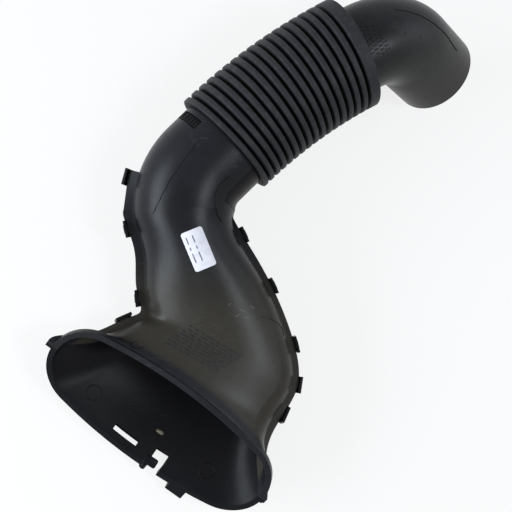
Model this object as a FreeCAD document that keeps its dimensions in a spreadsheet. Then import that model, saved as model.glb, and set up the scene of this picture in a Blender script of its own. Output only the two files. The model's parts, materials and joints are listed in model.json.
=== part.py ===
"""Air intake pipe of a car engine, as a parametric FreeCAD document.

Two moulded half shells make a flat funnel with a flared stadium mouth that narrows into a round
pipe and turns through a bend. A bellows plugs into the pipe's end and carries an outlet elbow.

The design frame has the parting plane of the shells at z = 0. A station is one cross-section of
the duct: its own x runs across the flow, its y upwards and its z back out of the mouth. At the end
every piece is turned together into the attitude in which the pipe lies at rest.
"""
import FreeCAD
import Part
import Sketcher

import math
import os

SIZES = {
    # Flared mouth: where its middle is, which way the flow runs and how far the rim leans back.
    "rim_x": -75.5, "rim_y": -126, "rim_z": 20, "rim_heading": 53, "rim_tilt": 62,
    "rim_width": 192, "rim_height": 80, "rim_corner": 78,
    "throat_x": -65, "throat_y": -112.5, "throat_z": 13.5, "throat_heading": 54, "throat_tilt": 49,
    "throat_width": 164, "throat_height": 70, "throat_corner": 76,
    "neck_x": -54.5, "neck_y": -101.5, "neck_z": 8, "neck_heading": 55, "neck_tilt": 36,
    "neck_width": 143, "neck_height": 64, "neck_corner": 73,
    # Flat funnel between the mouth and the round pipe.
    "entry_x": -40, "entry_y": -87, "entry_z": 4, "entry_heading": 58.5, "entry_tilt": 21,
    "entry_width": 132, "entry_height": 59, "entry_corner": 71,
    "wide_x": -28, "wide_y": -73, "wide_z": 1, "wide_heading": 65, "wide_tilt": 8,
    "wide_width": 124, "wide_height": 58, "wide_corner": 69,
    "fan_x": -29.5, "fan_y": -51.5, "fan_z": 0, "fan_heading": 73, "fan_tilt": 0,
    "fan_width": 115, "fan_height": 60, "fan_corner": 66,
    "slim_x": -39.5, "slim_y": -16.5, "slim_z": 0, "slim_heading": 82, "slim_tilt": 0,
    "slim_width": 95, "slim_height": 66, "slim_corner": 56,
    "pipe_x": -54, "pipe_y": 18.5, "pipe_z": 0, "pipe_heading": 87, "pipe_tilt": 0,
    "pipe_width": 77, "pipe_height": 75, "pipe_corner": 48,
    # Round bend and the socket end that takes the bellows.
    "bend_x": -56, "bend_y": 35.5, "bend_heading": 90, "bend_turn": 45.5, "bend_radius": 50,
    "socket_od": 79, "socket_length": 23,
    "shell_wall": 2.5,
    # Rolled lip of the mouth and the joining flanges along both sides.
    "lip_height": 2.2, "lip_length": 5,
    "flange_outer": 7, "flange_inner": 5, "flange_thick": 2.4, "flange_tail": 6,
    "seam_lift": 12, "seam_roll": 22, "split_reach": 18, "split_trim": 8,
    "split_height": 58,
    # Snap loops of the lower shell and the lugs of the upper shell that sit in them.
    "loop_length": 13, "loop_thick": 2.2, "loop_top": 5.4, "loop_window": 7.4,
    "lug_length": 6.6, "lug_thick": 1.7, "snap_gap": 0.4,
    # Latch of the lower rim: a slot, the bar beside it with a hooked end, a gap and a foot.
    "latch_slot_start": -24, "latch_slot_length": 22, "latch_slot_width": 4, "latch_bar": 4,
    "latch_gap_start": 13, "latch_gap_length": 11, "latch_gap_depth": 11, "latch_hook": 2.6,
    "foot_start": 36, "foot_length": 15, "foot_drop": 4, "foot_depth": 7,
    # Window of the socket and the tongue of the bellows that snaps into it.
    "window_angle": 55, "window_length": 29, "window_width": 8, "window_back": 9,
    "tongue_gap": 0.6, "tongue_rise": 2.4,
    # Bellows: ribs along an arc, a sleeve inside the socket and an end wall round the elbow.
    "bellows_length": 125, "bellows_turn": 16.4, "bellows_od": 91, "groove_od": 80, "rib_count": 16,
    "crest_share": 0.52, "bellows_bore": 75, "sleeve_length": 24, "sleeve_wall": 2.2,
    "sleeve_gap": 0.3, "end_ring": 9, "end_wall": 5,
    # Outlet elbow: a lead inside the bellows, a bend and a straight tail.
    "elbow_od": 69, "elbow_wall": 2.5, "elbow_lead": 10, "elbow_radius": 48, "elbow_turn": 62,
    "elbow_roll": 40, "elbow_tail": 42, "elbow_inset": 12, "elbow_gap": 0.3, "elbow_bead": 1.1,
    "elbow_bead_length": 3, "elbow_bead_gap": 1,
    # Paper label on the pipe.
    "label_x": -46, "label_y": 5, "label_heading": 112.5, "label_length": 30.5, "label_width": 16.8,
    "label_corner": 2, "label_thick": 0.25, "label_reach": 60,
    # Attitude in which the pipe lies at rest.
    "rest_pitch": -5.08, "rest_roll": 7.26,
}

DUCT = ["rim", "throat", "neck", "entry", "wide", "fan", "slim", "pipe"]
BENDS = 4
OUTER_CLIPS = ["entry", "fan", "pipe", "bend_1"]
INNER_CLIPS = ["entry", "wide", "fan", "slim", "pipe"]

doc = FreeCAD.newDocument("air_intake_pipe")
sheet = doc.addObject("Spreadsheet::Sheet", "Sizes")
for row, (alias, value) in enumerate(SIZES.items(), 1):
    sheet.set(f"A{row}", alias)
    sheet.set(f"B{row}", str(value))
    sheet.setAlias(f"B{row}", alias)
doc.recompute()


def number(text):
    """The value of an expression on the sheet's cells."""
    found = sheet.evalExpression(text)
    return float(getattr(found, "Value", found))


def add(kind, name, expressions=None, **settings):
    """A document object with plain settings and sizes bound to the sheet."""
    item = doc.addObject(kind, name)
    for key, setting in settings.items():
        setattr(item, key, setting)
    for key, text in (expressions or {}).items():
        item.setExpression(key, text)
    return item


def place(x="0", y="0", z="0", yaw="0", pitch="0", roll="0"):
    """The text of a placement built from expressions."""
    return f"placement(vector({x}; {y}; {z}); rotation({yaw}; {pitch}; {roll}))"


class Station:
    """One cross-section of the duct, with its sizes as expressions on the sheet."""

    def __init__(self, name, centre, heading, tilt, width, height, corner, roll="0", open_side=True):
        self.name = name
        self.centre = centre
        self.width = width
        self.height = height
        self.corner = corner
        self.roll = roll
        self.open_side = open_side
        self.placing = place(*centre, yaw=f"{heading} - 90", roll=f"90 - {tilt}")
        hinge = place(x=f"-({width}) / 2", yaw=roll)
        self.seam = f"{self.placing} * {hinge}"
        self.upright_seam = f"{place(*centre, yaw=f'{heading} - 90', roll='90')} * {hinge}"

    def chord(self):
        """How far the seam line runs across the section, from the outer side to the inner."""
        return f"({self.width}) * cos(({self.roll}) * 1 deg)"

    def edge(self, inner):
        """Middle of the flange's outside edge, as a placement in the design frame."""
        reach = f"{self.chord()} + Sizes.flange_inner" if inner else "-Sizes.flange_outer"
        return sheet.evalExpression(f"{self.seam} * {place(x=reach)}")


def duct_station(key):
    """A station whose sizes are all cells of the sheet."""
    cell = {part: f"Sizes.{key}_{part}" for part in
            ("x", "y", "z", "heading", "tilt", "width", "height", "corner")}
    return Station(key, (cell["x"], cell["y"], cell["z"]), cell["heading"], cell["tilt"],
                   cell["width"], cell["height"], cell["corner"])


def bend_station(index):
    """A round station of the bend, whose seam climbs over the inner side."""
    share = f"{index} / {BENDS - 1}"
    heading = f"(Sizes.bend_heading - Sizes.bend_turn * {share})"
    start = "Sizes.bend_heading * 1 deg"
    here = f"{heading} * 1 deg"
    x = f"Sizes.bend_x + Sizes.bend_radius * (sin({start}) - sin({here}))"
    y = f"Sizes.bend_y + Sizes.bend_radius * (cos({here}) - cos({start}))"
    roll = "Sizes.seam_roll" if index else "Sizes.seam_lift"
    return Station(f"bend_{index}", (x, y, "0"), heading, "0", "Sizes.socket_od",
                   "Sizes.socket_od", "45", roll, False)


def socket_station():
    """The station at the open end of the straight socket beyond the bend."""
    heading = "(Sizes.bend_heading - Sizes.bend_turn)"
    start = "Sizes.bend_heading * 1 deg"
    here = f"{heading} * 1 deg"
    x = (f"Sizes.bend_x + Sizes.bend_radius * (sin({start}) - sin({here}))"
         f" + Sizes.socket_length * cos({here})")
    y = (f"Sizes.bend_y + Sizes.bend_radius * (cos({here}) - cos({start}))"
         f" + Sizes.socket_length * sin({here})")
    return Station("socket", (x, y, "0"), heading, "0", "Sizes.socket_od", "Sizes.socket_od", "45",
                   "Sizes.seam_roll", False)


stations = {key: duct_station(key) for key in DUCT}
stations.update({f"bend_{i}": bend_station(i) for i in range(BENDS)})
stations["socket"] = socket_station()
rim, socket = stations["rim"], stations["socket"]
funnel = [stations[key] for key in DUCT + ["bend_0"]]
bend = [stations[f"bend_{i}"] for i in range(BENDS)]


def oval(name, station, inset="0"):
    """A four-arc oval on a station, drawn in from the outside by an inset."""
    turn = f"({station.corner} * 1 deg)"
    squash = f"((1 - sin({turn})) / cos({turn}))"
    half = f"(({station.width}) / 2 - ({inset}))"
    rise = f"(({station.height}) / 2 - ({inset}))"
    side = f"(({rise} - {half} * {squash}) / (1 - {squash}))"
    crown = f"({side} + ({half} - {side}) / cos({turn}))"
    sizes = {"join_x": f"{half} - {side} + {side} * cos({turn})", "join_y": f"{side} * sin({turn})",
             "side": side, "crown": crown}
    angle = math.radians(number(station.corner))
    wide, high, small, large = (number(text) for text in (half, rise, side, crown))
    arcs = [(wide - small, 0, small, -angle, angle),
            (0, high - large, large, angle, math.pi - angle),
            (small - wide, 0, small, math.pi - angle, math.pi + angle),
            (0, large - high, large, math.pi + angle, 2 * math.pi - angle)]
    sketch = doc.addObject("Sketcher::SketchObject", name)
    up = FreeCAD.Vector(0, 0, 1)
    for x, y, radius, start, stop in arcs:
        circle = Part.Circle(FreeCAD.Vector(x, y, 0), up, radius)
        sketch.addGeometry(Part.ArcOfCircle(circle, start, stop), False)
    rules = [Sketcher.Constraint("Coincident", i, 2, (i + 1) % 4, 1) for i in range(4)]
    rules.append(Sketcher.Constraint("Symmetric", 0, 2, 1, 2, -2))
    rules.append(Sketcher.Constraint("Symmetric", 0, 2, 2, 2, -1, 1))
    rules.append(Sketcher.Constraint("Symmetric", 0, 2, 3, 2, -1))
    rules.append(Sketcher.Constraint("Equal", 0, 2))
    rules.append(Sketcher.Constraint("Equal", 1, 3))
    sketch.addConstraint(rules)
    named = [("join_x", Sketcher.Constraint("DistanceX", -1, 1, 0, 2, number(sizes["join_x"]))),
             ("join_y", Sketcher.Constraint("DistanceY", -1, 1, 0, 2, number(sizes["join_y"]))),
             ("side", Sketcher.Constraint("Radius", 0, small)),
             ("crown", Sketcher.Constraint("Radius", 1, large))]
    for key, rule in named:
        index = sketch.addConstraint(rule)
        sketch.renameConstraint(index, key)
        sketch.setExpression(f"Constraints.{key}", sizes[key])
    sketch.setExpression("Placement", station.placing)
    return sketch


def loft(name, sections, ruled=False):
    """A solid lofted through sections."""
    return add("Part::Loft", name, Sections=sections, Solid=True, Ruled=ruled)


def fuse(name, shapes):
    """One solid from several that meet."""
    return add("Part::MultiFuse", name, Shapes=shapes)


def cut(name, base, tool):
    """A solid less another."""
    return add("Part::Cut", name, Base=base, Tool=tool)


def box(name, placing, length, width, height):
    """A box whose corner is at a placement, with sizes as expressions."""
    return add("Part::Box", name, {"Length": length, "Width": width, "Height": height,
                                   "Placement": placing})


# Skin of the duct: funnel loft, round bend and socket, with the flange ribbon and the mouth lip.
along_socket = f"{bend[-1].placing} * {place(roll='180')}"
bend_frame = f"{bend[-1].placing} * {place(x='Sizes.bend_radius', yaw='180', roll='90')}"


def duct_run(name, inset):
    """Funnel, bend and socket as solids, drawn in from the outside by an inset."""
    radius = f"Sizes.socket_od / 2 - ({inset})"
    body = loft(f"{name}_funnel", [oval(f"{name}_{s.name}", s, inset) for s in funnel])
    turn = add("Part::Torus", f"{name}_bend", {
        "Radius1": "Sizes.bend_radius", "Radius2": radius, "Angle3": "Sizes.bend_turn",
        "Placement": bend_frame})
    tube = add("Part::Cylinder", f"{name}_tube", {
        "Radius": radius, "Height": "Sizes.socket_length", "Placement": along_socket})
    return [body, turn, tube]


outer = duct_run("outer", "0")
inner = duct_run("inner", "Sizes.shell_wall")
lip = add("Part::Extrusion", "mouth_lip", {"LengthRev": "Sizes.lip_length"},
          Base=oval("lip_outline", rim, "-Sizes.lip_height"), DirMode="Normal", Solid=True,
          LengthFwd=0)


def flange_section(station, back="0", name=None):
    """A rectangle across the seam that reaches past the duct on its open sides."""
    inside = "Sizes.flange_inner" if station.open_side else "-Sizes.shell_wall / 2"
    corner = place(x="-Sizes.flange_outer", y="-Sizes.flange_thick", z=back)
    return add("Part::Plane", name or f"flange_{station.name}", {
        "Length": f"Sizes.flange_outer + {station.chord()} + {inside}",
        "Width": "2 * Sizes.flange_thick",
        "Placement": f"{station.seam} * {corner}"})


def split_section(station, rise="0", back="0", name=None):
    """An upright rectangle over the seam that covers everything above it."""
    corner = place(x="-Sizes.split_reach", y=rise, z=back)
    inside = "Sizes.split_reach" if station.open_side else "Sizes.split_trim"
    return add("Part::Plane", name or f"split_{station.name}", {
        "Length": f"Sizes.split_reach + {station.chord()} + {inside}",
        "Width": "Sizes.split_height",
        "Placement": f"{station.upright_seam} * {corner}"})


ribbon = loft("flange_ribbon", [flange_section(s) for s in funnel])
ribbon_end = loft("flange_ribbon_end", [flange_section(s) for s in bend[:2]]
                  + [flange_section(bend[1], "-Sizes.flange_tail", "flange_tail_end")], ruled=True)
split_front = loft("split_mouth", [split_section(rim, "Sizes.lip_length", "3 * Sizes.lip_length",
                                                 "split_front"), split_section(rim)])
split_funnel = loft("split_funnel", [split_section(s) for s in funnel])
split_bend = loft("split_bend", [split_section(s) for s in bend]
                  + [split_section(socket, "0", "-5", "split_back")], ruled=True)
split = fuse("split_tool", [split_front, split_funnel, split_bend])

skin = cut("duct_skin", fuse("duct_solid", outer + [ribbon, ribbon_end, lip]),
           fuse("duct_hollow", inner))
upper_half = add("Part::Common", "upper_half", Base=skin, Tool=split)
lower_half = cut("lower_half", skin, split)


def clip_frame(names, name, inner):
    """Placement of a clip: x out of the flange's edge, y along it and z up through the seam."""
    index = names.index(name)
    here = stations[name].edge(inner)
    before = stations[names[max(index - 1, 0)]].edge(inner)
    after = stations[names[index + 1]].edge(inner)
    up = here.Rotation.multVec(FreeCAD.Vector(0, 1, 0))
    along = after.Base.sub(before.Base)
    along = along.sub(FreeCAD.Vector(up).multiply(along.dot(up)))
    out = along.cross(up) if inner else up.cross(along)
    along = up.cross(out)
    return FreeCAD.Placement(here.Base, FreeCAD.Rotation(out, along, up, "ZXY"))


def clip_box(name, frame, start, stop, length, low, high):
    """A box on a clip's frame, between two distances out of the edge and two heights."""
    item = add("Part::Box", name, {"Length": f"({stop}) - ({start})", "Width": length,
                                   "Height": f"({high}) - ({low})"})
    corner = FreeCAD.Vector(number(start), -number(length) / 2, number(low))
    item.Placement = frame.multiply(FreeCAD.Placement(corner, FreeCAD.Rotation()))
    return item


def snap_clips():
    """Loops with windows for the lower shell, lugs and their clearance for the upper shell."""
    loops, windows, lugs, reliefs = [], [], [], []
    names = list(stations)
    base = "Sizes.flange_thick / 5"
    back = "Sizes.snap_gap + Sizes.loop_thick"
    for inner, chosen in ((False, OUTER_CLIPS), (True, INNER_CLIPS)):
        for name in chosen:
            tag = f"{'inner' if inner else 'outer'}_{name}"
            frame = clip_frame(names, name, inner)
            loops.append(clip_box(f"loop_{tag}", frame, "Sizes.snap_gap", back, "Sizes.loop_length",
                                  "-Sizes.flange_thick", "Sizes.loop_top"))
            loops.append(clip_box(f"loop_foot_{tag}", frame, "-Sizes.loop_thick / 2", back,
                                  "Sizes.loop_length", "-Sizes.flange_thick", f"-{base}"))
            windows.append(clip_box(f"window_{tag}", frame, "-Sizes.loop_thick", f"{back} + 1",
                                    "Sizes.loop_window", f"{base} - Sizes.snap_gap",
                                    f"{base} + Sizes.lug_thick + Sizes.snap_gap"))
            lugs.append(clip_box(f"lug_{tag}", frame, "-Sizes.loop_thick / 2", f"{back} + 0.6",
                                 "Sizes.lug_length", base, f"{base} + Sizes.lug_thick"))
            reliefs.append(clip_box(f"relief_{tag}", frame, "Sizes.snap_gap / 4", f"{back} + 2",
                                    "Sizes.loop_length + Sizes.snap_gap", "-Sizes.flange_thick",
                                    "Sizes.loop_top + 1"))
            reliefs.append(clip_box(f"relief_foot_{tag}", frame, "-Sizes.loop_thick", f"{back} + 2",
                                    "Sizes.loop_length + Sizes.snap_gap", "-2 * Sizes.flange_thick",
                                    f"-{base} / 2"))
    return loops, windows, lugs, reliefs


loops, windows, lugs, reliefs = snap_clips()


def rim_box(name, start, length, low, high, back, front):
    """A box on the mouth's lower lip: along the rim, across the wall and out of the mouth."""
    corner = place(start, f"-Sizes.rim_height / 2 + ({low})", back)
    return box(name, f"{rim.placing} * {corner}", length, f"({high}) - ({low})",
               f"({front}) - ({back})")


latch_slot = rim_box("latch_slot", "Sizes.latch_slot_start", "Sizes.latch_slot_length", "-8", "14",
                     "-Sizes.latch_bar - Sizes.latch_slot_width", "-Sizes.latch_bar")
latch_gap = rim_box("latch_gap", "Sizes.latch_gap_start", "Sizes.latch_gap_length", "-8", "16",
                    "-Sizes.latch_gap_depth", "2")
hook_place = place("Sizes.latch_gap_start - Sizes.latch_hook / 2",
                   "-Sizes.rim_height / 2 + Sizes.shell_wall / 2", "-Sizes.latch_bar / 2",
                   roll="90")
latch_hook = add("Part::Cylinder", "latch_hook", {
    "Radius": "Sizes.latch_hook", "Height": "Sizes.shell_wall / 2 + Sizes.foot_drop",
    "Placement": f"{rim.placing} * {hook_place}"})
latch_foot = rim_box("latch_foot", "Sizes.foot_start", "Sizes.foot_length",
                     "-Sizes.lip_height - Sizes.foot_drop", "Sizes.shell_wall / 2",
                     "-Sizes.foot_depth", "0")

# Window in the socket, turned from the top towards the outside of the bend.
around_socket = f"{socket.placing} * {place(z='Sizes.window_back', yaw='Sizes.window_angle')}"


def socket_patch(name, trim):
    """A box through the socket's wall where the tongue snaps in, drawn in by a gap."""
    corner = place(f"-Sizes.window_length / 2 + ({trim})", "Sizes.socket_od / 2 - 8",
                   f"-Sizes.window_width / 2 + ({trim})")
    return box(name, f"{around_socket} * {corner}", f"Sizes.window_length - 2 * ({trim})", "16",
               f"Sizes.window_width - 2 * ({trim})")


upper_cut = cut("upper_cut", upper_half,
                fuse("upper_openings", reliefs + [socket_patch("socket_window", "0")]))
upper_shell = fuse("upper_shell", [upper_cut] + lugs)
lower_cut = cut("lower_cut", fuse("lower_looped", [lower_half] + loops),
                fuse("lower_openings", windows + [latch_slot, latch_gap]))
lower_shell = fuse("lower_shell", [lower_cut, latch_hook, latch_foot])

# Bellows: ruled loft over crests and grooves along an arc, with a bore that follows the arc.
START = "(Sizes.bend_heading - Sizes.bend_turn)"
ARC = "(Sizes.bellows_length / (Sizes.bellows_turn * pi / 180))"
PITCH = "((Sizes.bellows_length - Sizes.end_ring) / Sizes.rib_count)"
SLEEVE = "(Sizes.socket_od / 2 - Sizes.shell_wall - Sizes.sleeve_gap)"


def along_bellows(run):
    """Text of a station's placement on the bellows' axis, a run away from the socket."""
    heading = f"({START} - Sizes.bellows_turn * ({run}) / Sizes.bellows_length)"
    first, here = f"{START} * 1 deg", f"{heading} * 1 deg"
    shift = place(f"{ARC} * (sin({first}) - sin({here}))", f"{ARC} * (cos({here}) - cos({first}))",
                  yaw=f"{heading} - 90", roll="90")
    return f"{place(*socket.centre)} * {shift}"


def bellows_ring(name, run, diameter):
    """A circle of the bellows' outside."""
    return add("Part::Circle", name, {"Radius": f"{diameter} / 2", "Placement": along_bellows(run)})


rings = []
for rib in range(int(number("Sizes.rib_count"))):
    begin = f"{rib} * {PITCH}"
    rings.append(bellows_ring(f"crest_start_{rib}", begin, "Sizes.bellows_od"))
    rings.append(bellows_ring(f"crest_stop_{rib}", f"{begin} + Sizes.crest_share * {PITCH}",
                              "Sizes.bellows_od"))
    rings.append(bellows_ring(f"groove_{rib}", f"{begin} + (1 + Sizes.crest_share) / 2 * {PITCH}",
                              "Sizes.groove_od"))
rings.append(bellows_ring("end_ring_start", "Sizes.bellows_length - Sizes.end_ring",
                          "Sizes.bellows_od"))
rings.append(bellows_ring("end_ring_stop", "Sizes.bellows_length", "Sizes.bellows_od"))
ribs = loft("bellows_ribs", rings, ruled=True)
sleeve = add("Part::Cylinder", "bellows_sleeve", {
    "Radius": SLEEVE, "Height": "Sizes.sleeve_length + Sizes.sleeve_wall",
    "Placement": along_bellows("Sizes.sleeve_wall")})
tongue_disc = add("Part::Cylinder", "tongue_disc", {
    "Radius": f"{SLEEVE} + Sizes.tongue_rise", "Height": "Sizes.sleeve_length",
    "Placement": socket.placing})
tongue = add("Part::Common", "bellows_tongue", Base=tongue_disc,
             Tool=socket_patch("tongue_block", "Sizes.tongue_gap"))
sleeve_bore = add("Part::Cylinder", "sleeve_bore", {
    "Radius": f"{SLEEVE} - Sizes.sleeve_wall", "Height": "Sizes.sleeve_length + 3 * Sizes.sleeve_wall",
    "Placement": along_bellows("2 * Sizes.sleeve_wall")})
BORE_TURN = ("Sizes.bellows_turn * (Sizes.bellows_length - Sizes.end_wall - Sizes.sleeve_wall)"
             " / Sizes.bellows_length")
bore_frame = f"{along_bellows('Sizes.bellows_length - Sizes.end_wall')} * " + place(
    x=ARC, yaw="180", roll="90")
bore = add("Part::Torus", "bellows_bore", {
    "Radius1": ARC, "Radius2": "Sizes.bellows_bore / 2", "Angle3": BORE_TURN,
    "Placement": bore_frame})
end_bore = add("Part::Cylinder", "bellows_end_bore", {
    "Radius": "Sizes.elbow_od / 2 + Sizes.elbow_gap", "Height": "Sizes.end_wall + 2",
    "Placement": f"{along_bellows('Sizes.bellows_length')} * {place(z='-1')}"})
bellows = cut("bellows", fuse("bellows_outside", [ribs, sleeve, tongue]),
              fuse("bellows_inside", [sleeve_bore, bore, end_bore]))

# Outlet elbow: lead, bend and tail, hollowed by the same pieces drawn in by the wall.
OUTLET = along_bellows("Sizes.bellows_length")
lead_frame = f"{OUTLET} * {place(z='Sizes.elbow_inset', roll='180')}"
turn_frame = (f"{OUTLET} * {place(z='-Sizes.elbow_lead', yaw='Sizes.elbow_roll')}"
              f" * {place(y='-Sizes.elbow_radius', yaw='90', roll='-90')}")
tail_frame = (f"{turn_frame} * {place(yaw='Sizes.elbow_turn')}"
              f" * {place(x='Sizes.elbow_radius', roll='-90')}")


def elbow_solid(name, radius):
    """The elbow's run as one solid of a given radius."""
    lead = add("Part::Cylinder", f"{name}_lead", {
        "Radius": radius, "Height": "Sizes.elbow_inset + Sizes.elbow_lead", "Placement": lead_frame})
    turn = add("Part::Torus", f"{name}_turn", {
        "Radius1": "Sizes.elbow_radius", "Radius2": radius, "Angle3": "Sizes.elbow_turn",
        "Placement": turn_frame})
    tail = add("Part::Cylinder", f"{name}_tail", {
        "Radius": radius, "Height": "Sizes.elbow_tail", "Placement": tail_frame})
    return [lead, turn, tail]


bead = add("Part::Cylinder", "elbow_bead", {
    "Radius": "Sizes.elbow_od / 2 + Sizes.elbow_bead", "Height": "Sizes.elbow_bead_length",
    "Placement": f"{OUTLET} * {place(z='Sizes.end_wall + Sizes.elbow_bead_gap')}"})
elbow_full = fuse("elbow_outside", elbow_solid("elbow_out", "Sizes.elbow_od / 2") + [bead])
elbow_hollow = fuse("elbow_inside", elbow_solid("elbow_in", "Sizes.elbow_od / 2 - Sizes.elbow_wall"))
elbow_pipe = cut("elbow_pipe", elbow_full, elbow_hollow)

# Paper label: a thin skin on the duct inside a rounded rectangle.
grown = loft("label_skin", [oval(f"label_{s.name}", s, "-Sizes.label_thick") for s in funnel])
label_place = (f"{place('Sizes.label_x', 'Sizes.label_y', yaw='Sizes.label_heading - 90')}"
               f" * {place('-Sizes.label_width / 2', '-Sizes.label_length / 2')}")
label_block = box("label_block", label_place, "Sizes.label_width", "Sizes.label_length",
                  "Sizes.label_reach")
doc.recompute()
corner_radius = number("Sizes.label_corner")
upright = [i for i, edge in enumerate(label_block.Shape.Edges, 1)
           if abs(edge.Vertexes[0].Z - edge.Vertexes[-1].Z) > corner_radius]
label_round = add("Part::Fillet", "label_round", Base=label_block,
                  Edges=[(i, corner_radius, corner_radius) for i in upright])
label = cut("label", add("Part::Common", "label_patch", Base=grown, Tool=label_round), outer[0])

NODES = {"upper_shell": upper_shell, "lower_shell": lower_shell, "bellows": bellows,
         "elbow_pipe": elbow_pipe, "label": label}
doc.recompute()
for item in doc.Objects:
    if "Invalid" in item.State or "Error" in item.State:
        raise RuntimeError(f"{item.Name} failed: {item.State}")
for node, item in NODES.items():
    if item.Shape.isNull() or not item.Shape.isValid():
        raise RuntimeError(f"{node} has no valid shape")


def rest_placement():
    """Turns the pipe as it lies and sets its lowest point on the ground under its middle."""
    turn = FreeCAD.Rotation(0, number("Sizes.rest_pitch"), number("Sizes.rest_roll"))
    span = FreeCAD.BoundBox()
    for item in NODES.values():
        for point in item.Shape.tessellate(number("Sizes.shell_wall") / 10)[0]:
            span.add(turn.multVec(point))
    return FreeCAD.Placement(FreeCAD.Vector(-span.Center.x, -span.Center.y, -span.ZMin), turn)


resting = rest_placement()
os.makedirs("parts", exist_ok=True)
for node, item in NODES.items():
    item.Label = node
    item.Placement = resting
    shape = item.Shape
    shape.exportStep(f"parts/{node}.step")
    print(node, len(shape.Solids), "solid", round(shape.Volume), "mm3")
print("resting placement", resting)
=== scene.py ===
import json
import logging
import math
from dataclasses import dataclass, field
from enum import Enum
from typing import Any, Dict, List, Optional, Sequence, Tuple, Union

import bpy
from mathutils import Matrix, Vector

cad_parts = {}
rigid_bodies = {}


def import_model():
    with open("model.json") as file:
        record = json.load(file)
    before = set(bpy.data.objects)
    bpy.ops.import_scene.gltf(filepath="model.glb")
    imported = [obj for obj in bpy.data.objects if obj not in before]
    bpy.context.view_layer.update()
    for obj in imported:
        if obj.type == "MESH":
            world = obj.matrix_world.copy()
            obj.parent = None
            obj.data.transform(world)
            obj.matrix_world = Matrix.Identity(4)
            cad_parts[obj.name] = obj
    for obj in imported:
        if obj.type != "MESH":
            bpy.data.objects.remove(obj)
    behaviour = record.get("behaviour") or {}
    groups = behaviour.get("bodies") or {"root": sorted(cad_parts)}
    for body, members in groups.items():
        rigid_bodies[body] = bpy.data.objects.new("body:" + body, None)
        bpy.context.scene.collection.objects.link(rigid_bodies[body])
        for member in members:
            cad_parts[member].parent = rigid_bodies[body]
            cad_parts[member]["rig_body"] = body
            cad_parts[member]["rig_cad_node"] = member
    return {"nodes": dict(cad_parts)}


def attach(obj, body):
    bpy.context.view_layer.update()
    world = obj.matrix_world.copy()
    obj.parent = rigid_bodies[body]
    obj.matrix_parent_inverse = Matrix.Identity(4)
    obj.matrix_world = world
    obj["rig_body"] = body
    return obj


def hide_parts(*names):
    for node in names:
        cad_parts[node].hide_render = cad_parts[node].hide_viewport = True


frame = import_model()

LOG = logging.getLogger("air_intake_pipe")
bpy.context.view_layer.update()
MM = 0.001
BODY = "root"

Triple = Tuple[float, float, float]
Colour = Tuple[float, float, float]
Pixel = Tuple[float, float]

WHITE = (1.0, 1.0, 1.0, 1.0)
UP: Triple = (0.0, 0.0, 1.0)

# Meshes: where shading breaks, what counts as a sharp edge and how finely strips are divided.
SMOOTH_ANGLE = math.radians(40)
SHARP_ANGLE = 0.6
BAR_ROUNDING = 0.4
STRIP_LIFT = 0.25
LONG_STEPS = 40
RUN_STEPS = 16
SHORT_STEPS = 8

# Patterns: how noise is layered, and the shape of fine scratches and the patches they lie in.
NOISE_ROUGHNESS = 0.55
STREAK_STRETCH: Triple = (0.035, 1.0, 1.0)
STREAK_BAND = 0.035
PATCH_SCALE = 24.0
PATCH_FROM = 0.5
PATCH_TO = 0.62
BEVEL_SAMPLES = 4


class Slot(Enum):
    """Material slots of the record."""

    DUCT = "duct_plastic"
    BELLOWS = "bellows_rubber"
    ELBOW = "elbow_plastic"
    LABEL = "label_paper"


class Node(Enum):
    """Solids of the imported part."""

    UPPER = "upper_shell"
    LOWER = "lower_shell"
    BELLOWS = "bellows"
    ELBOW = "elbow_pipe"
    LABEL = "label"

    def mesh(self) -> bpy.types.Object:
        """The node's object in the loaded frame."""
        return frame["nodes"][self.value]


@dataclass(frozen=True)
class Resting:
    """How the pipe lies: the turn and shift from its parting plane to the row frame."""

    pitch: float = math.radians(-5.08)
    roll: float = math.radians(7.26)
    shift: Vector = field(default_factory=lambda: Vector((-11.9577, -6.08407, 39.6682)) * MM)

    def matrix(self) -> Matrix:
        """The transform from the design frame to the row frame."""
        turn = Matrix.Rotation(self.pitch, 4, "Y") @ Matrix.Rotation(self.roll, 4, "X")
        return Matrix.Translation(self.shift) @ turn

    def point(self, x: float, y: float, z: float) -> Vector:
        """A design point in millimetres, in the row frame in metres."""
        return self.matrix() @ (Vector((x, y, z)) * MM)

    def direction(self, x: float, y: float, z: float) -> Vector:
        """A design direction in the row frame."""
        return (self.matrix().to_3x3() @ Vector((x, y, z))).normalized()


RESTING = Resting()


@dataclass
class Spot:
    """A place on a surface with its outward normal."""

    place: Vector
    normal: Vector

    def basis(self, along: Vector) -> Matrix:
        """Axes on the surface: x along a direction, z outwards.

        Args:
            along: the direction that x follows as far as the surface allows.

        Returns:
            The transform from the axes to the row frame.
        """
        across = self.normal.cross(along).normalized()
        first = across.cross(self.normal).normalized()
        turn = Matrix((first, across, self.normal)).transposed().to_4x4()
        return Matrix.Translation(self.place) @ turn


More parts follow.
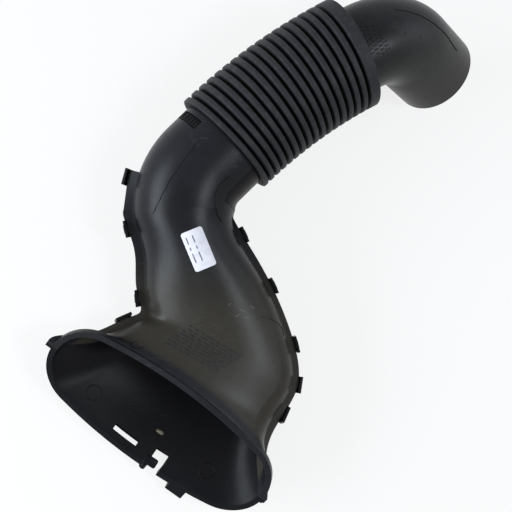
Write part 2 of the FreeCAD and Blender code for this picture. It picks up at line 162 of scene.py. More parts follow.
@dataclass(frozen=True)
class PhotoView:
    """Camera of the photograph, stated in the design frame."""

    focal_pixels: float = 800.0
    frame_pixels: float = 512.0
    sensor: float = 36.0
    reach: float = 20.0
    place: Triple = (-62.8, 0.0, 624.85)
    up: Triple = (0.0, 1.0, 0.0)
    back: Triple = (-0.1, 0.0, 0.995)

    def axes(self) -> Tuple[Vector, Vector, Vector]:
        """Right, up and back of the camera in the row frame."""
        back = RESTING.direction(*self.back)
        right = RESTING.direction(*self.up).cross(back).normalized()
        return right, back.cross(right), back

    def add_camera(self) -> None:
        """Adds the camera and makes it the scene's own."""
        data = bpy.data.cameras.new("photo_camera")
        data.sensor_width = self.sensor
        data.lens = self.focal_pixels * self.sensor / self.frame_pixels
        data.clip_end = self.reach
        camera = bpy.data.objects.new("photo_camera", data)
        bpy.context.scene.collection.objects.link(camera)
        turn = Matrix(self.axes()).transposed().to_4x4()
        camera.matrix_world = Matrix.Translation(RESTING.point(*self.place)) @ turn
        bpy.context.scene.camera = camera

    def spot(self, pixel: Pixel, node: Node) -> Spot:
        """Where a pixel's line of sight meets a node.

        Args:
            pixel: the place in the 512 by 512 frame, from its upper left corner.
            node: the solid that carries the place.

        Returns:
            The first place on the node along that line.
        """
        half = self.frame_pixels / 2
        right, up, back = self.axes()
        sight = right * (pixel[0] - half) + up * (half - pixel[1]) - back * self.focal_pixels
        start = RESTING.point(*self.place)
        hit, place, normal, _ = node.mesh().ray_cast(start, sight.normalized())
        if not hit:
            raise ValueError(f"no {node.value} at pixel {pixel}")
        if normal.dot(sight) > 0:
            normal = -normal
        return Spot(place, normal.normalized())


VIEW = PhotoView()


class Term:
    """A number that varies over a surface, as a socket with arithmetic."""

    def __init__(self, graph: "Graph", socket: bpy.types.NodeSocket) -> None:
        """Wraps a socket of a graph."""
        self.graph = graph
        self.socket = socket

    def _math(self, operation: str, first: Any, second: Any) -> "Term":
        """A Math node on two numbers or terms."""
        node = self.graph.node("ShaderNodeMath", {"operation": operation}, {0: first, 1: second})
        return Term(self.graph, node.outputs[0])

    def __add__(self, other: Any) -> "Term":
        """Sum with a number or a term."""
        return self._math("ADD", self, other)

    __radd__ = __add__

    def __sub__(self, other: Any) -> "Term":
        """Difference from a number or a term."""
        return self._math("SUBTRACT", self, other)

    def __rsub__(self, other: Any) -> "Term":
        """A number less this term."""
        return self._math("SUBTRACT", other, self)

    def __mul__(self, other: Any) -> "Term":
        """Product with a number or a term."""
        return self._math("MULTIPLY", self, other)

    __rmul__ = __mul__

    def __pow__(self, power: Any) -> "Term":
        """This term raised to a power."""
        return self._math("POWER", self, power)

    def most(self, other: Any) -> "Term":
        """The larger of this term and a number or a term."""
        return self._math("MAXIMUM", self, other)

    def fade(self, low: float, high: float) -> "Term":
        """Smooth step that is 0 at low and 1 at high."""
        node = self.graph.node("ShaderNodeMapRange", {"interpolation_type": "SMOOTHSTEP"},
                               {"Value": self, "From Min": low, "From Max": high})
        return Term(self.graph, node.outputs[0])


class Graph:
    """Nodes of one material, or of the world."""

    def __init__(self, name: str, world: Optional[bpy.types.World] = None) -> None:
        """Empties the node tree of a given world, or of a new material.

        Args:
            name: what a new material is called.
            world: the world to take instead of a new material.
        """
        self.material = world or bpy.data.materials.new(name)
        self.material.use_nodes = True
        self.tree = self.material.node_tree
        self.tree.nodes.clear()
        self.place = self.node("ShaderNodeTexCoord").outputs["Object"]

    def node(self, kind: str, settings: Optional[Dict[str, Any]] = None,
             inputs: Optional[Dict[Union[int, str], Any]] = None) -> bpy.types.Node:
        """Adds a node.

        Args:
            kind: the node's type.
            settings: properties that are set first.
            inputs: values or links by socket name or number.

        Returns:
            The new node.
        """
        made = self.tree.nodes.new(kind)
        for key, value in (settings or {}).items():
            setattr(made, key, value)
        for key, value in (inputs or {}).items():
            if isinstance(value, Term):
                value = value.socket
            if isinstance(value, bpy.types.NodeSocket):
                self.tree.links.new(value, made.inputs[key])
            else:
                made.inputs[key].default_value = value
        return made

    def noise(self, scale: float, detail: float = 3.0, stretch: Optional[Triple] = None,
              turn: Triple = (0.0, 0.0, 0.0)) -> Term:
        """Noise on Object coordinates.

        Args:
            scale: blobs to the metre.
            detail: how many finer layers it has.
            stretch: scale of each axis, for streaks.
            turn: angles of the pattern.

        Returns:
            The noise as a term from 0 to 1.
        """
        place = self.place
        if stretch is not None:
            place = self.node("ShaderNodeMapping", None, {
                "Vector": place, "Rotation": turn, "Scale": stretch}).outputs[0]
        made = self.node("ShaderNodeTexNoise", None, {
            "Vector": place, "Scale": scale, "Detail": detail, "Roughness": NOISE_ROUGHNESS})
        return Term(self, made.outputs[0])

    def along(self, direction: Vector, origin: Vector) -> Term:
        """How far a place lies from an origin in a direction.

        Args:
            direction: a unit vector in the row frame.
            origin: where the distance is 0.

        Returns:
            The distance in metres.
        """
        shifted = self.node("ShaderNodeVectorMath", {"operation": "SUBTRACT"},
                            {0: self.place, 1: tuple(origin)})
        made = self.node("ShaderNodeVectorMath", {"operation": "DOT_PRODUCT"},
                         {0: shifted.outputs[0], 1: tuple(direction)})
        return Term(self, made.outputs["Value"])

    def distance(self, origin: Vector) -> Term:
        """How far a place lies from an origin."""
        made = self.node("ShaderNodeVectorMath", {"operation": "DISTANCE"},
                         {0: self.place, 1: tuple(origin)})
        return Term(self, made.outputs["Value"])

    def blend(self, factor: Term, first: Any, second: Any) -> bpy.types.NodeSocket:
        """A colour between two colours.

        Args:
            factor: 0 for the first colour, 1 for the second.
            first: a colour or a colour's socket.
            second: a colour or a colour's socket.

        Returns:
            The mixed colour's socket.
        """
        ends = [(*c, 1.0) if isinstance(c, tuple) else c for c in (first, second)]
        made = self.node("ShaderNodeMix", {"data_type": "RGBA"},
                         {0: factor, 6: ends[0], 7: ends[1]})
        return made.outputs[2]

    def seen(self) -> Term:
        """1 for rays from the camera, off a gloss or through a clear wall, otherwise 0."""
        path = self.node("ShaderNodeLightPath").outputs
        camera, glossy, clear = (Term(self, path[f"Is {kind} Ray"])
                                 for kind in ("Camera", "Glossy", "Transmission"))
        return camera.most(glossy).most(clear)

    def streaks(self, turn: Triple, scale: float, level: float) -> Term:
        """Fine straight scratches in one direction, in patches.

        Args:
            turn: angles of the scratches.
            scale: how many there are to the metre.
            level: how rare they are, from 0 to 1.

        Returns:
            1 on a scratch and 0 beside it.
        """
        lines = self.noise(scale, 1.0, STREAK_STRETCH, turn).fade(level, level + STREAK_BAND)
        patches = self.noise(PATCH_SCALE, 1.0).fade(PATCH_FROM, PATCH_TO)
        return lines * patches

    def finish(self, colour: Any, roughness: Any, height: Term, depth: float, edge: float,
               constants: Optional[Dict[str, float]] = None) -> bpy.types.Material:
        """Closes the material with a surface shader.

        Args:
            colour: the base colour's socket.
            roughness: the roughness as a term.
            height: what the bump follows.
            depth: the bump's height in metres.
            edge: the radius in metres to which corners look rounded.
            constants: other sockets of the shader that are the same all over.

        Returns:
            The material.
        """
        rounded = self.node("ShaderNodeBevel", {"samples": BEVEL_SAMPLES}, {"Radius": edge})
        bump = self.node("ShaderNodeBump", None, {
            "Strength": 1.0, "Distance": depth, "Height": height, "Normal": rounded.outputs[0]})
        shader = self.node("ShaderNodeBsdfPrincipled", None, {
            "Base Color": colour, "Roughness": roughness, "Normal": bump.outputs[0],
            **(constants or {})})
        self.node("ShaderNodeOutputMaterial", None, {"Surface": shader.outputs[0]})
        return self.material


@dataclass(frozen=True)
class MouldedPlastic:
    """Satin black plastic with a fine moulded grain, handling scuffs and a little dust.

    It has painted warm bounce light on one side of a plane, left out of a band along the mouth's
    rim. Places are in millimetres in the design frame.
    """

    name: str
    deep: Colour
    pale: Colour
    # Colour of the painted warm bounce light.
    painted_bounce: Colour
    dust: Colour = (0.075, 0.072, 0.07)
    # Where the painted warm bounce light falls: a band along the mouth's rim is left out, and it
    # fades in across a plane.
    rim_centre: Triple = (-75.5, -126.0, 20.0)
    rim_out: Triple = (-0.28, -0.37, 0.88)
    rim_band: float = 9.0
    painted_bounce_axis: Triple = (0.0, 1.0, 0.0)
    painted_bounce_from: float = 20.0
    painted_bounce_to: float = -60.0
    roughness: float = 0.31
    gloss: float = 0.15
    wear: float = 0.16
    speckle: float = 0.25
    cloud_scale: float = 16.0
    mottle_scale: float = 130.0
    speck_scale: float = 900.0
    grain_scale: float = 1900.0
    scratch_runs: Tuple[Tuple[Triple, float, float], ...] = (
        ((0.3, 0.2, 0.9), 620.0, 0.66), ((0.1, 0.4, 2.3), 760.0, 0.68),
        ((0.6, 0.1, 0.2), 540.0, 0.69))
    bump_depth: float = 0.09 * MM
    edge: float = 0.8 * MM

    def painted_bounce_share(self, g: Graph) -> Term:
        """Where the painted warm bounce light falls: past the plane and clear of the rim."""
        forward = g.along(RESTING.direction(*self.painted_bounce_axis), RESTING.point(0, 0, 0))
        rim_plane = g.along(RESTING.direction(*self.rim_out), RESTING.point(*self.rim_centre))
        return forward.fade(self.painted_bounce_from * MM, self.painted_bounce_to * MM) * (
            1.0 - rim_plane.fade(-self.rim_band * MM, -self.rim_band / 2 * MM))

    def material(self) -> bpy.types.Material:
        """The finish as a material."""
        g = Graph(self.name)
        clouds = g.noise(self.cloud_scale, 4.0)
        mottle = g.noise(self.mottle_scale, 3.0)
        grain = g.noise(self.grain_scale, 2.0)
        first, *others = [g.streaks(*run) for run in self.scratch_runs]
        scratches = sum(others, first)
        specks = g.noise(self.speck_scale, 1.0).fade(0.7, 0.76) * clouds.fade(0.42, 0.62)
        tone = g.blend(clouds.fade(0.32, 0.68) * 0.7 + mottle * 0.3, self.deep, self.pale)
        # Painted warm bounce light, mottled.
        tone = g.blend(self.painted_bounce_share(g) * (0.55 + mottle * 0.3), tone, self.painted_bounce)
        tone = g.blend(scratches * self.wear, tone, self.dust)
        tone = g.blend(specks * self.speckle, tone, self.dust)
        rough = self.roughness - 0.06 + clouds * 0.1 + mottle * 0.06 + scratches * 0.1
        height = grain * 0.6 + mottle * 0.5 - scratches * 0.2
        return g.finish(tone, rough, height, self.bump_depth, self.edge,
                        {"Specular IOR Level": self.gloss})


@dataclass(frozen=True)
class RibbedRubber:
    """Matt rubber with painted light and dust on the crests and painted shade in the grooves.

    The crests are told from the grooves by how far a place lies from the bellows' axis, which is
    an arc about a centre.
    """

    name: str
    # Colours: painted shade in the grooves, painted light on the crests, and dust worn onto the
    # crests.
    groove_shade: Colour
    crest: Colour
    bloom: Colour
    centre: Vector
    upward: Vector
    arc: float
    low: float
    high: float
    roughness: float = 0.62
    gloss: float = 0.14
    wear: float = 0.45
    cloud_scale: float = 28.0
    wear_scale: float = 210.0
    grain_scale: float = 1500.0
    bump_depth: float = 0.12 * MM
    edge: float = 0.6 * MM

    def material(self) -> bpy.types.Material:
        """The finish as a material."""
        g = Graph(self.name)
        lift = g.along(self.upward, self.centre)
        flat = (g.distance(self.centre) ** 2.0 - lift * lift) ** 0.5
        radius = ((flat - self.arc) * (flat - self.arc) + lift * lift) ** 0.5
        proud = radius.fade(self.low, self.high)
        clouds = g.noise(self.cloud_scale, 4.0)
        grain = g.noise(self.grain_scale, 2.0)
        wear = g.noise(self.wear_scale, 3.0).fade(0.45, 0.75) * proud
        # Painted shade in the grooves and painted light on the crests.
        tone = g.blend(proud * (0.75 + clouds * 0.35), self.groove_shade, self.crest)
        tone = g.blend(wear * self.wear, tone, self.bloom)
        rough = self.roughness - proud * 0.14 + clouds * 0.1
        return g.finish(tone, rough, grain * 0.7 + clouds * 0.3, self.bump_depth, self.edge,
                        {"Specular IOR Level": self.gloss})


@dataclass(frozen=True)
class LabelFilm:
    """Matt pale film with fine fibres and slightly soiled patches."""

    name: str
    clean: Colour
    soiled: Colour
    roughness: float = 0.55
    patch_scale: float = 110.0
    fibre_scale: float = 1400.0
    fibre_stretch: Triple = (0.3, 1.0, 1.0)
    fibre_turn: Triple = (0.0, 0.0, 0.5)
    bump_depth: float = 0.04 * MM
    edge: float = 0.1 * MM

    def material(self) -> bpy.types.Material:
        """The finish as a material."""
        g = Graph(self.name)
        patches = g.noise(self.patch_scale, 4.0)
        fibres = g.noise(self.fibre_scale, 3.0, self.fibre_stretch, self.fibre_turn)
        tone = g.blend(patches.fade(0.35, 0.8) * 0.8 + fibres * 0.2, self.clean, self.soiled)
        return g.finish(tone, self.roughness + fibres * 0.2, fibres, self.bump_depth, self.edge)


@dataclass(frozen=True)
class PlainMark:
    """Small mark that is mottled between two colours."""

    name: str
    deep: Colour
    pale: Colour
    roughness: float = 0.4
    mottle_scale: float = 700.0
    bump_depth: float = 0.04 * MM
    edge: float = 0.1 * MM

    def material(self) -> bpy.types.Material:
        """The finish as a material."""
        g = Graph(self.name)
        mottle = g.noise(self.mottle_scale, 3.0)
        tone = g.blend(mottle.fade(0.3, 0.7), self.deep, self.pale)
        return g.finish(tone, self.roughness + mottle * 0.2, mottle, self.bump_depth, self.edge)


def deselect() -> None:
    """Leaves nothing selected."""
    bpy.ops.object.select_all(action="DESELECT")


def select_only(piece: bpy.types.Object) -> None:
    """Selects one piece and makes it the active one.

    Args:
        piece: the object to select.
    """
    deselect()
    piece.select_set(True)
    bpy.context.view_layer.objects.active = piece


def settle(piece: bpy.types.Object, matrix: Matrix) -> None:
    """Moves a piece and applies its place to its mesh.

    Args:
        piece: an object at the origin.
        matrix: where it goes in the row frame.
    """
    select_only(piece)
    piece.matrix_world = matrix
    bpy.ops.object.transform_apply(location=True, rotation=True, scale=True)


def soften(piece: bpy.types.Object, width: float, segments: int = 2,
           angle: float = SHARP_ANGLE) -> None:
    """Rounds a piece's sharp edges by an applied Bevel.

    Args:
        piece: the object to round.
        width: the rounding's width in metres.
        segments: how many faces it has across.
        angle: edges sharper than this are rounded.
    """
    select_only(piece)
    bevel = piece.modifiers.new("round", "BEVEL")
    bevel.width = width
    bevel.segments = segments
    bevel.limit_method = "ANGLE"
    bevel.angle_limit = angle
    bpy.ops.object.modifier_apply(modifier=bevel.name)


def join(pieces: Sequence[bpy.types.Object]) -> bpy.types.Object:
    """Joins pieces into the first one.

    Args:
        pieces: the objects to join.

    Returns:
        The first of them, with all their meshes.
    """
    deselect()
    for piece in pieces:
        piece.select_set(True)
    bpy.context.view_layer.objects.active = pieces[0]
    bpy.ops.object.join()
    return pieces[0]


def hand_over(piece: bpy.types.Object, name: str,
              material: bpy.types.Material) -> None:
    """Names a finished piece, dresses it and sets it on the part.

    Args:
        piece: the finished mesh.
        name: what the piece is called.
        material: what it wears.
    """
    piece.name = name
    piece.data.materials.clear()
    piece.data.materials.append(material)
    select_only(piece)
    bpy.ops.object.shade_smooth_by_angle(angle=SMOOTH_ANGLE)
    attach(piece, BODY)
    LOG.info("%s: %d faces", name, len(piece.data.polygons))


def dress_node(node: Node, material: bpy.types.Material) -> None:
    """Puts a material on a node's mesh.

    Args:
        node: the solid to dress.
        material: what it wears.
    """
    mesh = node.mesh().data
    mesh.materials.clear()
    mesh.materials.append(material)
    LOG.info("%s: CAD mesh, %d faces", node.value, len(mesh.polygons))


def rounded_block(size: Triple, rounding: float, segments: int = 2) -> bpy.types.Object:
    """A block with rounded edges round the origin.

    Args:
        size: length, width and height in metres.
        rounding: the width of its rounded edges in metres.
        segments: how many faces these have across.

    Returns:
        The block.
    """
    deselect()
    bpy.ops.mesh.primitive_cube_add(size=1.0, scale=size)
    piece = bpy.context.active_object
    bpy.ops.object.transform_apply(location=True, rotation=True, scale=True)
    soften(piece, rounding, segments)
    return piece


def bar(size: Triple, matrix: Matrix) -> bpy.types.Object:
    """A small rounded bar whose lower half is sunk in the surface.

    Args:
        size: length, width and height above the surface in metres.
        matrix: axes on the surface.

    Returns:
        The bar.
    """
    length, width, height = size
    piece = rounded_block((length, width, 2 * height), min(width, height) * BAR_ROUNDING)
    settle(piece, matrix)
    return piece


def strip(node: Node, start: Pixel, stop: Pixel, width: float, height: float,
          steps: int) -> bpy.types.Object:
    """A thin strip that follows a node's surface between two places of the photograph.

    Args:
        node: the solid that carries the strip.
        start: pixel where it begins.
        stop: pixel where it ends.
        width: its width in metres.
        height: how far it stands proud in metres.
        steps: how many lengths it is divided into.

    Returns:
        The strip.
    """
    first, last = VIEW.spot(start, node), VIEW.spot(stop, node)
    run = last.place - first.place
    middle = Spot((first.place + last.place) / 2, (first.normal + last.normal).normalized())
    middle.place = middle.place + middle.normal * run.length * STRIP_LIFT
    deselect()
    bpy.ops.mesh.primitive_grid_add(x_subdivisions=steps, y_subdivisions=2, size=1.0)
    piece = bpy.context.active_object
    settle(piece, middle.basis(run) @ Matrix.Diagonal((run.length, width, 1.0, 1.0)))
    wrap = piece.modifiers.new("wrap", "SHRINKWRAP")
    wrap.target = node.mesh()
    wrap.wrap_method = "NEAREST_SURFACEPOINT"
    wrap.wrap_mode = "ABOVE_SURFACE"
    wrap.offset = height / 2
    bpy.ops.object.modifier_apply(modifier=wrap.name)
    wall = piece.modifiers.new("wall", "SOLIDIFY")
    wall.thickness = height
    wall.offset = 0.0
    bpy.ops.object.modifier_apply(modifier=wall.name)
    return piece


def run_of_strips(node: Node, pixels: Sequence[Pixel], width: float,
                  height: float) -> bpy.types.Object:
    """Strips end to end through several places of the photograph, as one piece.

    Args:
        node: the solid that carries them.
        pixels: where they begin, meet and end.
        width: their width in metres.
        height: how far they stand proud in metres.

    Returns:
        The joined piece.
    """
    return join([strip(node, start, stop, width, height, RUN_STEPS)
                 for start, stop in zip(pixels, pixels[1:])])


@dataclass
class DuctDressing:
    """Finish of both duct halves and the small marks and moulded details on them."""

    # Block of raised bars: its corners in the photograph, and its bars as shares of its length.
    block: Tuple[Pixel, Pixel, Pixel, Pixel] = ((160, 342), (189, 323), (247, 359), (220, 375))
    rows: int = 8
    row_start: float = 0.02
    row_stagger: float = 0.03
    bars: Tuple[float, ...] = (0.05, 0.09, 0.06, 0.13, 0.07, 0.11, 0.05, 0.08)
    bar_gap: float = 0.035
    bar_width: float = 0.9 * MM
    bar_height: float = 0.5 * MM
    # Rings: the carrier, the place, the radius and how round each looks.
    rings: Tuple[Tuple[Node, Pixel, float, float], ...] = (
        (Node.LOWER, (94, 393), 6.0 * MM, 1.0), (Node.LOWER, (207, 471), 6.0 * MM, 1.0),
        (Node.UPPER, (137, 345), 5.5 * MM, 0.55))
    ring_wire: float = 0.45 * MM
    ring_flat: float = 0.6
    ring_along: Triple = (1.0, 0.3, 0.0)
    ring_segments: int = 48
    wire_segments: int = 8
    # Thin lines that follow the surface.
    weld: Tuple[Pixel, Pixel] = ((203, 137), (151, 216))
    weld_width: float = 0.9 * MM
    weld_height: float = 0.35 * MM
    seam: Tuple[Pixel, ...] = (
        (229, 177), (219, 187), (215.5, 196), (215.5, 205), (217.5, 214), (222, 221))
    seam_width: float = 1.2 * MM
    seam_height: float = 0.5 * MM
    brow: Tuple[Pixel, ...] = ((262, 317), (270, 318.5), (277, 322), (282, 328), (284, 336))
    scuffs: Tuple[Tuple[Pixel, Pixel], ...] = (
        ((239, 309), (246, 312)), ((235, 317), (240, 314)), ((250, 305), (255, 309)),
        ((228, 306), (231, 303)), ((243, 318), (249, 317)))
    scuff_width: float = 0.5 * MM
    scuff_height: float = 0.06 * MM
    # Moulding mark inside the mouth.
    mould_mark: Pixel = (160, 432)
    mould_along: Triple = (1.0, -0.7, 0.0)
    mould_size: Triple = (6.8 * MM, 3.0 * MM, 0.6 * MM)
    mould_uneven: float = 0.09
    mould_seed: int = 2
    # End of the latch's arm.
    knob_foot: Pixel = (144, 457)
    knob_along: Triple = (0.82, -0.57, 0.0)
    knob_shift: float = 6.0 * MM
    knob_sunk: float = 1.44 * MM
    knob_size: Triple = (11.5 * MM, 7.4 * MM, 3.6 * MM)
    knob_rounding: float = 1.62 * MM
    # Lug outside the mouth's far end, its place in millimetres in the design frame.
    lug_size: Triple = (4.5 * MM, 7.0 * MM, 3.2 * MM)
    lug_place: Triple = (2.6, -184.8, 17.0)
    lug_out: Triple = (0.7986, -0.6018, 0.0)
    lug_rounding: float = 0.7 * MM

    def mark_bars(self) -> bpy.types.Object:
        """Rows of short raised bars on the funnel."""
        upper_left, upper_right, lower_right, lower_left = (Vector(p) for p in self.block)
        first, last = (VIEW.spot(p, Node.UPPER).place for p in (self.block[0], self.block[3]))
        along = last - first
        made: List[bpy.types.Object] = []
        for row in range(self.rows):
            down = (row + 0.5) / self.rows
            begin = upper_right.lerp(upper_left, down)
            end = lower_right.lerp(lower_left, down)
            run = self.row_start + self.row_stagger * (row % 2)
            for index in range(len(self.bars)):
                share = self.bars[(index + row) % len(self.bars)]
                pixel = begin.lerp(end, run + share / 2)
                spot = VIEW.spot(tuple(pixel), Node.UPPER)
                size = (share * along.length, self.bar_width, self.bar_height)
                made.append(bar(size, spot.basis(along)))
                run += share + self.bar_gap
        return join(made)

    def ring_marks(self) -> bpy.types.Object:
        """Round marks of the mould's pins."""
        made: List[bpy.types.Object] = []
        along = RESTING.direction(*self.ring_along)
        for node, pixel, radius, squash in self.rings:
            spot = VIEW.spot(pixel, node)
            deselect()
            bpy.ops.mesh.primitive_torus_add(
                major_radius=radius, minor_radius=self.ring_wire,
                major_segments=self.ring_segments, minor_segments=self.wire_segments)
            piece = bpy.context.active_object
            settle(piece, spot.basis(along) @ Matrix.Diagonal((1.0, squash, self.ring_flat, 1.0)))
            made.append(piece)
        return join(made)

    def mould_blob(self) -> bpy.types.Object:
        """A small, uneven, pale moulding mark inside the mouth."""
        spot = VIEW.spot(self.mould_mark, Node.LOWER)
        axes = spot.basis(RESTING.direction(*self.mould_along))
        deselect()
        bpy.ops.mesh.primitive_uv_sphere_add(segments=24, ring_count=12, radius=0.5)
        piece = bpy.context.active_object
        bpy.ops.object.mode_set(mode="EDIT")
        bpy.ops.mesh.select_all(action="SELECT")
        bpy.ops.transform.vertex_random(offset=self.mould_uneven, seed=self.mould_seed)
        bpy.ops.object.mode_set(mode="OBJECT")
        settle(piece, axes @ Matrix.Diagonal((*self.mould_size, 1.0)))
        return piece

    def latch_knob(self) -> bpy.types.Object:
        """The rounded end of the latch's arm, which reaches into the gap beside it."""
        foot = VIEW.spot(self.knob_foot, Node.LOWER)
        axes = foot.basis(RESTING.direction(*self.knob_along))
        piece = rounded_block(self.knob_size, self.knob_rounding, 4)
        settle(piece, axes @ Matrix.Translation((self.knob_shift, 0.0, -self.knob_sunk)))
        return piece

    def rim_lug(self) -> bpy.types.Object:
        """The small lug outside the mouth's far end."""
        spot = Spot(RESTING.point(*self.lug_place), RESTING.direction(*UP))
        piece = rounded_block(self.lug_size, self.lug_rounding, 3)
        settle(piece, spot.basis(RESTING.direction(*self.lug_out)))
        return piece

    def build(self, plastic: bpy.types.Material, shaded_lower_plastic: bpy.types.Material,
              raised: bpy.types.Material, pale_mark: bpy.types.Material,
              scuffed: bpy.types.Material) -> None:
        """Dresses both halves and adds their marks.

        Args:
            plastic: the upper half's material.
            shaded_lower_plastic: the lower half's material, darker for painted shade, with less
                wear.
            raised: what the raised bars wear, a bluer copy with a painted sheen.
            pale_mark: the moulding mark's material.
            scuffed: what the bright scuffs wear.
        """
        dress_node(Node.UPPER, plastic)
        dress_node(Node.LOWER, shaded_lower_plastic)
        hand_over(self.mark_bars(), "funnel_mark_bars", raised)
        hand_over(self.ring_marks(), "mould_pin_rings", shaded_lower_plastic)
        hand_over(self.mould_blob(), "moulding_mark", pale_mark)
        hand_over(self.latch_knob(), "latch_knob", shaded_lower_plastic)
        hand_over(self.rim_lug(), "rim_end_lug", shaded_lower_plastic)
        weld = strip(Node.UPPER, *self.weld, self.weld_width, self.weld_height, LONG_STEPS)
        hand_over(weld, "weld_line", plastic)
        seam = run_of_strips(Node.UPPER, self.seam, self.seam_width, self.seam_height)
        hand_over(seam, "inner_seam_bead", plastic)
        brow = run_of_strips(Node.UPPER, self.brow, self.weld_width, self.weld_height)
        hand_over(brow, "funnel_edge_line", plastic)
        scuffs = join([strip(Node.UPPER, *ends, self.scuff_width, self.scuff_height, SHORT_STEPS)
                       for ends in self.scuffs])
        hand_over(scuffs, "funnel_scuffs", scuffed)


@dataclass
class Bellows:
    """The ribbed hose, with its crests and grooves rounded."""

    socket_end: Triple = (-24.64, 87.28, 0.0)
    heading: float = math.radians(44.5)
    length: float = 125.0 * MM
    turn: float = math.radians(16.4)
    crest: float = 45.5 * MM
    shade_from: float = 42.0 * MM
    merge: float = 0.002 * MM
    rounding: float = 0.55 * MM
    rounding_steps: int = 3
    rounding_angle: float = 0.5
    tongue: Tuple[Pixel, Pixel] = ((184.5, 115), (197, 125))
    ridges: int = 6
    ridge_size: Triple = (5.2 * MM, 1.1 * MM, 0.5 * MM)
    # Painted shade for the grooves, painted light for the crests, and dust on them.
    groove_shade_tone: Colour = (0.0008, 0.0008, 0.001)
    crest_light_tone: Colour = (0.019, 0.02, 0.0235)
    bloom_tone: Colour = (0.042, 0.042, 0.044)

    def arc(self) -> float:
        """Radius of the bellows' axis."""
        return self.length / self.turn

    def centre(self) -> Vector:
        """Centre of the axis's arc in the row frame."""
        inward = RESTING.direction(math.sin(self.heading), -math.cos(self.heading), 0)
        return RESTING.point(*self.socket_end) + inward * self.arc()

    def rubber(self) -> bpy.types.Material:
        """The bellows' material."""
        return RibbedRubber(
            "ribbed_rubber", groove_shade=self.groove_shade_tone, crest=self.crest_light_tone,
            bloom=self.bloom_tone, centre=self.centre(), upward=RESTING.direction(*UP),
            arc=self.arc(), low=self.shade_from, high=self.crest).material()

    def tongue_ridges(self) -> bpy.types.Object:
        """Short ridges across the tongue that shows in the socket's window."""
        start, stop = (Vector(p) for p in self.tongue)
        along = RESTING.direction(math.cos(self.heading), math.sin(self.heading), 0)
        made: List[bpy.types.Object] = []
        for index in range(self.ridges):
            pixel = start.lerp(stop, index / (self.ridges - 1))
            spot = VIEW.spot(tuple(pixel), Node.BELLOWS)
            made.append(bar(self.ridge_size, spot.basis(along)))
        return join(made)

    def rounded_copy(self) -> bpy.types.Object:
        """A copy of the CAD bellows with merged corners and rounded ribs."""
        select_only(Node.BELLOWS.mesh())
        bpy.ops.object.duplicate()
        piece = bpy.context.active_object
        piece.parent = None
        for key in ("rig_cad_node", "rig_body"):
            del piece[key]
        bpy.ops.object.mode_set(mode="EDIT")
        bpy.ops.mesh.select_all(action="SELECT")
        bpy.ops.mesh.remove_doubles(threshold=self.merge)
        bpy.ops.mesh.tris_convert_to_quads()
        bpy.ops.object.mode_set(mode="OBJECT")
        soften(piece, self.rounding, self.rounding_steps, self.rounding_angle)
        return piece

    def build(self) -> None:
        """Adds the ridges and puts the rounded copy in the CAD bellows' place."""
        ridges = self.tongue_ridges()
        piece = self.rounded_copy()
        rubber = self.rubber()
        hand_over(ridges, "tongue_ridges", rubber)
        hand_over(piece, "bellows_rounded", rubber)
        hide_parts(Node.BELLOWS.value)


@dataclass
class Elbow:
    """The outlet elbow's finish and raised marks."""

    block_from: Pixel = (354, 24)
    block_to: Pixel = (382, 55)
    slant: float = 12.0
    rows: int = 8
    columns: int = 5
    along: Triple = (0.88, 0.47, 0.0)
    bar_size: Triple = (3.2 * MM, 1.0 * MM, 0.45 * MM)
    dots: Tuple[Pixel, ...] = ((406, 33), (421, 37))
    dot_size: Triple = (2.2 * MM, 2.2 * MM, 0.4 * MM)
    flash: Tuple[Pixel, ...] = (
        (394, 9), (408, 11), (422, 16), (436, 25), (448, 37), (457, 51))
    flash_width: float = 0.9 * MM
    flash_height: float = 0.5 * MM

    def marks(self) -> bpy.types.Object:
        """Rows of short raised bars and two dots."""
        along = RESTING.direction(*self.along)
        (left, top), (right, bottom) = self.block_from, self.block_to
        made: List[bpy.types.Object] = []
        for row in range(self.rows):
            y = top + (row + 0.5) / self.rows * (bottom - top)
            for column in range(self.columns):
                x = left + self.slant * row / self.rows + (
                    (column + 0.5) / self.columns * (right - left))
                spot = VIEW.spot((x, y), Node.ELBOW)
                made.append(bar(self.bar_size, spot.basis(along)))
        for pixel in self.dots:
            spot = VIEW.spot(pixel, Node.ELBOW)
            made.append(bar(self.dot_size, spot.basis(along)))
        return join(made)

    def build(self, plastic: bpy.types.Material) -> None:
        """Dresses the elbow and adds its marks.

        Args:
            plastic: what the elbow and its marks wear.
        """
        dress_node(Node.ELBOW, plastic)
        hand_over(self.marks(), "elbow_mark_bars", plastic)
        flash = run_of_strips(Node.ELBOW, self.flash, self.flash_width, self.flash_height)
        hand_over(flash, "elbow_seam_flash", plastic)


@dataclass
class Label:
    """The paper label and its plain dashes, as shares of its width and length."""

    corners: Tuple[Pixel, Pixel, Pixel, Pixel] = (
        (176.4, 234), (197.8, 226.6), (213.2, 264.8), (192.4, 272.2))
    rows: Tuple[float, ...] = (0.32, 0.62)
    dashes: Tuple[Tuple[float, float], ...] = ((0.16, 0.34), (0.42, 0.5), (0.58, 0.82))
    ink_width: float = 0.8 * MM
    ink_height: float = 0.08 * MM
    film: LabelFilm = LabelFilm("label_film", clean=(0.8, 0.79, 0.86), soiled=(0.62, 0.61, 0.68))
    ink: PlainMark = PlainMark("label_ink", deep=(0.05, 0.05, 0.09), pale=(0.16, 0.16, 0.24))

    def ink_dashes(self) -> bpy.types.Object:
        """Two rows of plain dashes."""
        upper_left, upper_right, lower_right, lower_left = (Vector(p) for p in self.corners)
        made: List[bpy.types.Object] = []
        for row in self.rows:
            begin = upper_left.lerp(upper_right, row)
            end = lower_left.lerp(lower_right, row)
            for dash in self.dashes:
                start, stop = (tuple(begin.lerp(end, share)) for share in dash)
                made.append(strip(Node.LABEL, start, stop, self.ink_width, self.ink_height,
                                  SHORT_STEPS))
        return join(made)

    def build(self) -> None:
        """Dresses the label and adds its dashes."""
        dress_node(Node.LABEL, self.film.material())
        hand_over(self.ink_dashes(), "label_dashes", self.ink.material())


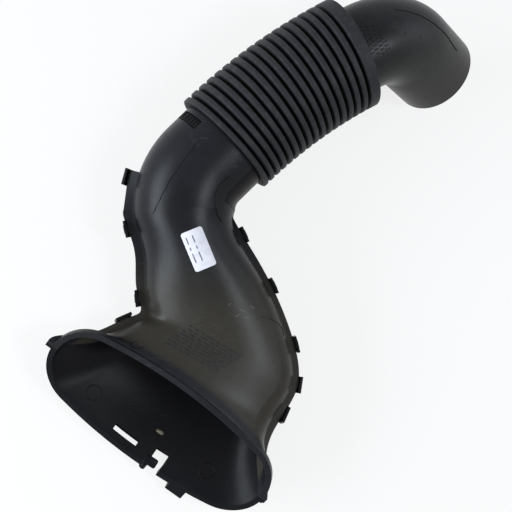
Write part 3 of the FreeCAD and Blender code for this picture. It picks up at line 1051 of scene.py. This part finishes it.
@dataclass
class Studio:
    """Pale floor, soft lamps and white surroundings."""

    floor_size: float = 12.0
    floor_drop: float = 0.3 * MM
    floor_tone: float = 0.86
    floor_glow: float = 0.8
    world_strength: float = 0.24
    lamp_tint: Colour = (0.87, 0.94, 1.0)
    # Each lamp's name, place, width and height in metres, and power in watts.
    lamps: Tuple[Tuple[str, Triple, Tuple[float, float], float], ...] = (
        ("key", (-1.2, -0.12, 0.48), (1.5, 0.6), 27.0),
        ("top", (0.65, -0.25, 1.1), (0.36, 0.36), 6.0),
        ("fill", (0.9, 0.3, 0.7), (0.6, 0.6), 2.0))

    def floor(self) -> None:
        """The ground under the pipe."""
        deselect()
        bpy.ops.mesh.primitive_plane_add(size=self.floor_size, location=(0, 0, -self.floor_drop))
        floor = bpy.context.active_object
        floor.name = "studio_floor"
        g = Graph("studio_floor")
        ground = g.node("ShaderNodeBsdfDiffuse", None, {"Color": (*(self.floor_tone,) * 3, 1.0)})
        glow = g.node("ShaderNodeEmission", None, {"Color": WHITE, "Strength": 1.0})
        share = g.seen() * self.floor_glow
        mixed = g.node("ShaderNodeMixShader", None,
                       {0: share, 1: ground.outputs[0], 2: glow.outputs[0]})
        g.node("ShaderNodeOutputMaterial", None, {"Surface": mixed.outputs[0]})
        floor.data.materials.append(g.material)

    def lights(self) -> None:
        """Large soft lamps aimed at the pipe."""
        for name, place, size, power in self.lamps:
            data = bpy.data.lights.new(f"lamp_{name}", "AREA")
            data.shape = "RECTANGLE"
            data.size, data.size_y = size
            data.energy = power
            data.color = self.lamp_tint
            lamp = bpy.data.objects.new(f"lamp_{name}", data)
            bpy.context.scene.collection.objects.link(lamp)
            lamp.location = place
            lamp.rotation_euler = (-Vector(place)).to_track_quat("-Z", "Y").to_euler()

    def surroundings(self) -> None:
        """Even light from all round, which looks white itself and in a gloss."""
        world = bpy.data.worlds.new("studio_world")
        bpy.context.scene.world = world
        g = Graph("studio_world", world)
        strength = self.world_strength + g.seen() * (1.0 - self.world_strength)
        glow = g.node("ShaderNodeBackground", None, {"Color": WHITE, "Strength": strength})
        g.node("ShaderNodeOutputWorld", None, {"Surface": glow.outputs[0]})

    def build(self) -> None:
        """Sets up the floor, the lamps, the world and the view."""
        self.floor()
        self.lights()
        self.surroundings()
        bpy.context.scene.view_settings.view_transform = "Standard"
        VIEW.add_camera()


def main() -> None:
    """Builds and dresses every piece, then the studio."""
    logging.basicConfig(level=logging.INFO, format="%(message)s")
    # Duct plastic: its third colour is painted warm bounce light towards the mouth.
    duct = MouldedPlastic(
        "duct_plastic", deep=(0.003, 0.0033, 0.0046), pale=(0.009, 0.0102, 0.0145),
        painted_bounce=(0.039, 0.035, 0.0265))
    # A darker copy of the duct plastic: painted shade over the lower half and the inside of the
    # mouth.
    lower = MouldedPlastic(
        "shaded_lower_duct_plastic", deep=(0.0025, 0.0026, 0.0034), pale=(0.006, 0.0064, 0.0085),
        painted_bounce=(0.0045, 0.0045, 0.0056), gloss=0.08, wear=0.04)
    # Elbow plastic: its third colour is painted grey-olive bounce light on its lower right.
    elbow = MouldedPlastic(
        "elbow_plastic", deep=(0.006, 0.0066, 0.008), pale=(0.018, 0.0192, 0.0225),
        painted_bounce=(0.046, 0.046, 0.04), painted_bounce_axis=(0.5, -0.87, 0.0), painted_bounce_from=-100.0, painted_bounce_to=-45.0)
    # A lighter, bluer copy of the duct plastic: painted sheen on the raised bars.
    raised = MouldedPlastic(
        "raised_mark_sheen_plastic", deep=(0.008, 0.0088, 0.012), pale=(0.02, 0.0215, 0.0275),
        painted_bounce=(0.02, 0.021, 0.026), gloss=0.22)
    pale = PlainMark("pale_moulding_mark", deep=(0.035, 0.03, 0.018), pale=(0.2, 0.18, 0.11))
    scuffed = PlainMark("scuffed_plastic", deep=(0.035, 0.034, 0.03), pale=(0.1, 0.096, 0.088))
    DuctDressing().build(duct.material(), lower.material(), raised.material(), pale.material(),
                         scuffed.material())
    Bellows().build()
    Elbow().build(elbow.material())
    Label().build()
    Studio().build()


if __name__ == "__main__":
    main()
